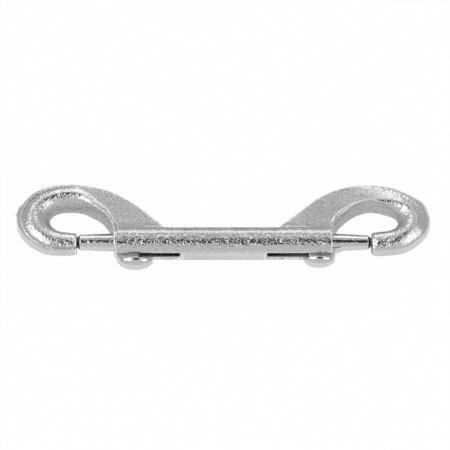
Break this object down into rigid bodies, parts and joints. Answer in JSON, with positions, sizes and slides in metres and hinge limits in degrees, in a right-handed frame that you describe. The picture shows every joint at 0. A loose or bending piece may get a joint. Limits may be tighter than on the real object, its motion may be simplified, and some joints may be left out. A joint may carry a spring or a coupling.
{
  "type": "double ended bolt snap",
  "caption": "Plated cast snap with an eye hook at each end of a straight barrel, each hook closed by a spring loaded sliding bolt with a thumb knob.",
  "frame": {"origin": "on the barrel's axis, halfway between its two ends", "axes": "+X along the barrel to the right hook, +Y from the barrel toward the hooks' arches, +Z square to the plane of the hooks, up as the snap lies on its side"},
  "size_m": [0.1175, 0.025, 0.0092],
  "materials": {
    "plated_casting": "satin",
    "plated_bolt": "satin",
    "spring_wire": "satin"
  },
  "bodies": {
    "root": {"snap_body": "plated_casting", "left_spring": "spring_wire", "right_spring": "spring_wire"},
    "left_slider": {"left_bolt": "plated_bolt"},
    "right_slider": {"right_bolt": "plated_bolt"}
  },
  "joints": [
    {"name": "left_bolt_slide", "type": "slide", "parent": "root", "child": "left_slider", "axis": [1, 0, 0], "range_m": [0, 0.0105], "stiffness_N_per_m": 500, "springref_m": -0.008, "deforming": ["left_spring"]},
    {"name": "right_bolt_slide", "type": "slide", "parent": "root", "child": "right_slider", "axis": [-1, 0, 0], "range_m": [0, 0.0105], "stiffness_N_per_m": 500, "springref_m": -0.008, "deforming": ["right_spring"]}
  ]
}
